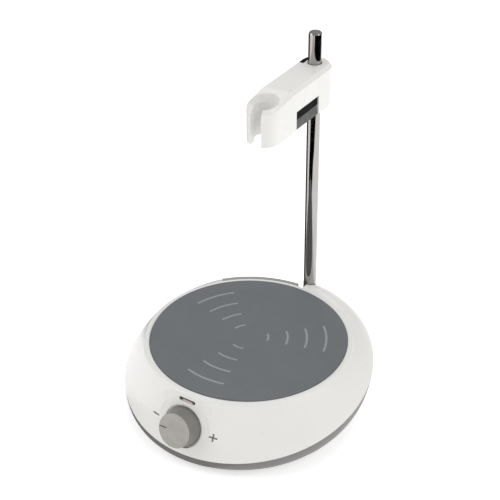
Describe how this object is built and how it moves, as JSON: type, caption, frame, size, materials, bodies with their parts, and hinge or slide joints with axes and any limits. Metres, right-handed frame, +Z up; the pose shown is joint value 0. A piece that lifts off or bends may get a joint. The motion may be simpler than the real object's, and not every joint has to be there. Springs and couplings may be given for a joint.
{
  "type": "magnetic stirrer",
  "caption": "Round magnetic stirrer with a sloping white shell, grey work plate, front speed knob, and a rear rod with a sliding, swivelling probe holder arm.",
  "frame": {"origin": "on the bench plane, on the vertical axis of the round work plate", "axes": "+Z up, -Y towards the operator and the knob, +Y towards the support rod, +X to the operator's right"},
  "size_m": [0.1528, 0.1634, 0.2168],
  "materials": {
    "housing_white": "glossy",
    "housing_grey": "satin",
    "panel_grey": "satin",
    "plate_coating": "satin",
    "knob_grey": "satin",
    "pointer_grey": "matte",
    "light_window": "translucent, glossy",
    "black_plastic": "satin",
    "rubber": "matte",
    "liner": "matte, light silicone",
    "chrome_rod": "polished",
    "screw_steel": "satin",
    "plated_steel": "satin",
    "brass": "satin",
    "magnet_nickel": "bright plated",
    "socket_aluminium": "machined",
    "sleeve_plastic": "satin",
    "carrier_plastic": "satin",
    "circuit_board": "satin, green",
    "led_body": "glossy",
    "lead_black": "satin",
    "lead_red": "satin"
  },
  "bodies": {
    "base": {"upper_housing": "housing_white", "lower_housing": "housing_grey", "rear_panel": "panel_grey", "rubber_feet": "rubber", "housing_screws": "screw_steel", "top_plate": "plate_coating", "plate_gasket": "rubber", "motor": "plated_steel", "motor_bracket": "plated_steel", "bracket_screws": "screw_steel", "motor_screws": "screw_steel", "control_board": "circuit_board", "board_screws": "screw_steel", "potentiometer": "black_plastic", "pot_nut": "plated_steel", "led_window": "light_window", "status_led": "led_body", "dc_inlet": "black_plastic", "inlet_pin": "brass", "power_lead": "lead_black", "motor_lead": "lead_red", "rod_socket": "socket_aluminium", "socket_screw": "screw_steel", "support_rod": "chrome_rod"},
    "rotor": {"motor_shaft": "screw_steel", "magnet_carrier": "carrier_plastic", "drive_magnets": "magnet_nickel"},
    "knob": {"speed_knob": "knob_grey", "knob_pointer": "pointer_grey", "pot_shaft": "brass"},
    "sleeve": {"rod_sleeve": "sleeve_plastic"},
    "arm": {"holder_arm": "housing_white", "probe_liner": "liner", "arm_bottom_cover": "housing_white", "cover_screws": "screw_steel", "button_spring": "plated_steel"},
    "release": {"release_button": "black_plastic", "clamp_jaw": "black_plastic"}
  },
  "joints": [
    {"name": "rotor_spin", "type": "hinge", "parent": "base", "child": "rotor", "pos_m": [0, 0, 0.036], "axis": [0, 0, 1], "continuous": true},
    {"name": "speed_turn", "type": "hinge", "parent": "base", "child": "knob", "pos_m": [0, -0.06865, 0.0247], "axis": [0, -0.9563, 0.2924], "range_deg": [-240, 60]},
    {"name": "height_slide", "type": "slide", "parent": "base", "child": "sleeve", "axis": [0, 0, 1], "range_m": [-0.122, 0.014]},
    {"name": "arm_swivel", "type": "hinge", "parent": "sleeve", "child": "arm", "pos_m": [0, 0.072, 0.185], "axis": [0, 0, 1], "continuous": true},
    {"name": "button_push", "type": "slide", "parent": "arm", "child": "release", "axis": [-1, 0, 0], "range_m": [0, 0.002], "stiffness_N_per_m": 800, "springref_m": -0.002, "deforming": ["button_spring"]}
  ]
}
